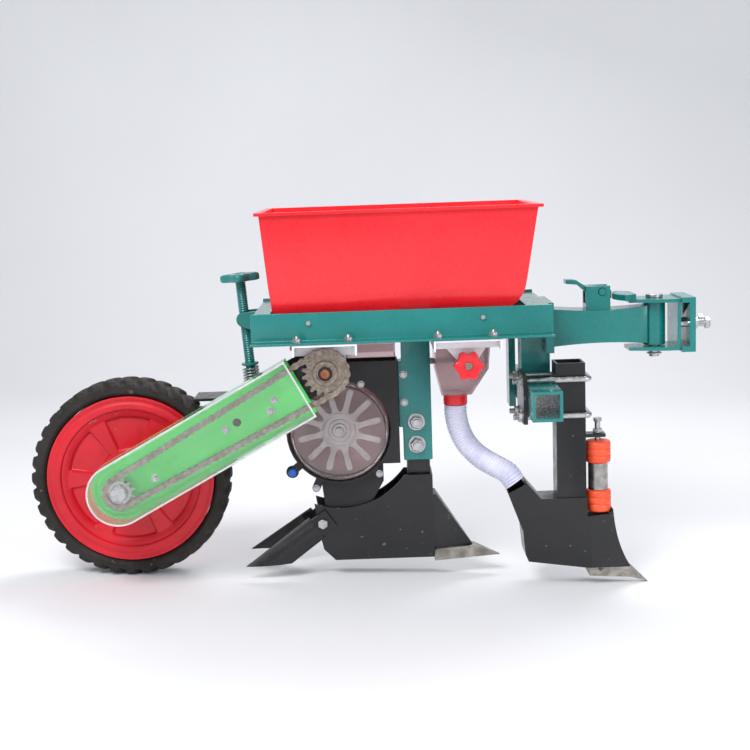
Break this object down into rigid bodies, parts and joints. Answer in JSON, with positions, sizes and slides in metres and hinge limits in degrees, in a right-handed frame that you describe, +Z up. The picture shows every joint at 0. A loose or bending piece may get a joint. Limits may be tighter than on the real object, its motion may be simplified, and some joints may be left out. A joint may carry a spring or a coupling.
{
  "type": "corn planter",
  "caption": "Walking-tractor corn planter: hopper over a seed meter and fertilizer feed, driven by a chained press wheel, with front and rear openers and a swivel hitch.",
  "frame": {"origin": "centre of the coupling plate's front face, on the machine's middle plane", "axes": "+X forward out of the hitch, the way the machine travels; +Z up with the side rails level; +Y to the machine's left"},
  "size_m": [1.1881, 0.34, 0.6653],
  "materials": {
    "teal": "gloss enamel",
    "hopper_red": "gloss",
    "wheel_red": "satin",
    "tyre_rubber": "matte",
    "black_paint": "satin with scuffs",
    "black_plastic": "satin",
    "zinc": "zinc plated",
    "raw_steel": "turned",
    "cast_share": "ground and bare",
    "chain_steel": "oiled",
    "case_green": "gloss",
    "clear_cover": "clear plastic",
    "smoke_plastic": "smoky clear plastic",
    "white_plastic": "gloss",
    "orange_plastic": "gloss",
    "hose_plastic": "satin",
    "cast_aluminium": "cast"
  },
  "bodies": {
    "hitch_head": {"hitch_yoke": "teal", "kingpin": "zinc", "coupling_plate": "teal", "near_adjuster": "zinc", "far_adjuster": "zinc"},
    "frame": {"near_rail": "teal", "far_rail": "teal", "rear_crossbar": "teal", "hopper": "hopper_red", "seed_tray": "white_plastic", "fertilizer_tray": "white_plastic", "seed_chute": "smoke_plastic", "seed_meter_housing": "black_plastic", "seed_meter_cover": "clear_cover", "fertilizer_bowl": "smoke_plastic", "outlet_collar": "hopper_red", "delivery_hose": "hose_plastic", "rear_leg": "teal", "seed_boot": "black_paint", "rear_share": "cast_share", "coverer_bolt": "zinc", "toolbar_frame": "teal", "ubolt_upper": "zinc", "ubolt_lower": "zinc", "clamp_plate": "black_paint", "front_opener": "black_paint", "front_share": "cast_share", "roller_bolt": "zinc", "drawbar": "teal", "meter_chain": "chain_steel", "feed_chain": "chain_steel"},
    "latch": {"latch_lever": "teal"},
    "wheel_arm": {"near_arm": "black_paint", "far_arm": "black_paint", "arm_cross_tube": "black_paint", "wheel_scraper": "black_paint", "chain_case_back": "case_green", "chain_case_cover": "clear_cover", "drive_chain": "chain_steel"},
    "wheel": {"tyre": "tyre_rubber", "wheel_disc": "wheel_red", "wheel_axle": "raw_steel"},
    "input": {"input_shaft": "raw_steel", "freewheel_sprocket": "chain_steel"},
    "seed_disc": {"seed_wheel": "cast_aluminium", "seed_wheel_shaft": "raw_steel"},
    "feed": {"fluted_roller": "hopper_red", "fertilizer_shaft": "raw_steel"},
    "knob": {"rate_knob": "hopper_red"},
    "nut": {"screw_nut": "teal"},
    "screw_slider": {"screw_clevis": "teal", "screw_spring": "teal"},
    "screw": {"depth_screw": "teal"},
    "near_coverer": {"near_covering_share": "black_paint"},
    "far_coverer": {"far_covering_share": "black_paint"},
    "weed_roller": {"roller_tube": "raw_steel", "roller_cap_upper": "orange_plastic", "roller_cap_lower": "orange_plastic"}
  },
  "joints": [
    {"name": "hitch_swing", "type": "hinge", "parent": "hitch_head", "child": "frame", "pos_m": [-0.062, 0, 0], "axis": [0, 0, 1], "range_deg": [-20, 20]},
    {"name": "latch_lift", "type": "hinge", "parent": "frame", "child": "latch", "pos_m": [-0.155, 0, 0.059], "axis": [0, -1, 0], "range_deg": [0, 16], "stiffness_Nm_per_rad": 0.6, "springref_deg": -14.32},
    {"name": "arm_pivot", "type": "hinge", "parent": "frame", "child": "wheel_arm", "pos_m": [-0.633, 0, -0.049], "axis": [0, 1, 0], "range_deg": [-5.9, 5.9]},
    {"name": "wheel_spin", "type": "hinge", "parent": "wheel_arm", "child": "wheel", "pos_m": [-0.9849, 0, -0.23931], "axis": [0, 1, 0], "continuous": true},
    {"name": "input_spin", "type": "hinge", "parent": "frame", "child": "input", "pos_m": [-0.633, 0, -0.049], "axis": [0, 1, 0], "continuous": true},
    {"name": "seed_spin", "type": "hinge", "parent": "frame", "child": "seed_disc", "pos_m": [-0.616, 0, -0.166], "axis": [0, 1, 0], "continuous": true},
    {"name": "feed_spin", "type": "hinge", "parent": "frame", "child": "feed", "pos_m": [-0.396, 0, -0.045], "axis": [0, 1, 0], "continuous": true},
    {"name": "rate_turn", "type": "hinge", "parent": "frame", "child": "knob", "pos_m": [-0.396, 0, -0.045], "axis": [0, 1, 0], "range_deg": [-150, 150]},
    {"name": "nut_swivel", "type": "hinge", "parent": "frame", "child": "nut", "pos_m": [-0.774, 0, 0.032], "axis": [0, 1, 0], "range_deg": [-2.4, 2.4]},
    {"name": "screw_slide", "type": "slide", "parent": "nut", "child": "screw_slider", "axis": [0.0702, 0, -0.9975], "range_m": [-0.0142, 0.0142]},
    {"name": "screw_turn", "type": "hinge", "parent": "screw_slider", "child": "screw", "pos_m": [-0.774, 0, 0.032], "axis": [0.0702, 0, -0.9975], "range_deg": [-1260, 1260]},
    {"name": "near_coverer_lift", "type": "hinge", "parent": "frame", "child": "near_coverer", "pos_m": [-0.651, 0, -0.329], "axis": [0, 1, 0], "range_deg": [-8, 25]},
    {"name": "far_coverer_lift", "type": "hinge", "parent": "frame", "child": "far_coverer", "pos_m": [-0.651, 0, -0.329], "axis": [0, 1, 0], "range_deg": [-8, 25]},
    {"name": "roller_spin", "type": "hinge", "parent": "frame", "child": "weed_roller", "pos_m": [-0.1715, -0.055, 0], "axis": [0, 0, 1], "continuous": true}
  ],
  "couplings": [
    {"joint": "screw_turn", "follows": "arm_pivot", "ratio": -211.9},
    {"joint": "screw_slide", "follows": "arm_pivot", "m_per_rad": -0.1349},
    {"joint": "nut_swivel", "follows": "arm_pivot", "ratio": 0.39392},
    {"joint": "input_spin", "follows": "wheel_spin", "ratio": 0.66667},
    {"joint": "seed_spin", "follows": "wheel_spin", "ratio": 0.66667},
    {"joint": "feed_spin", "follows": "wheel_spin", "ratio": 0.66667}
  ]
}
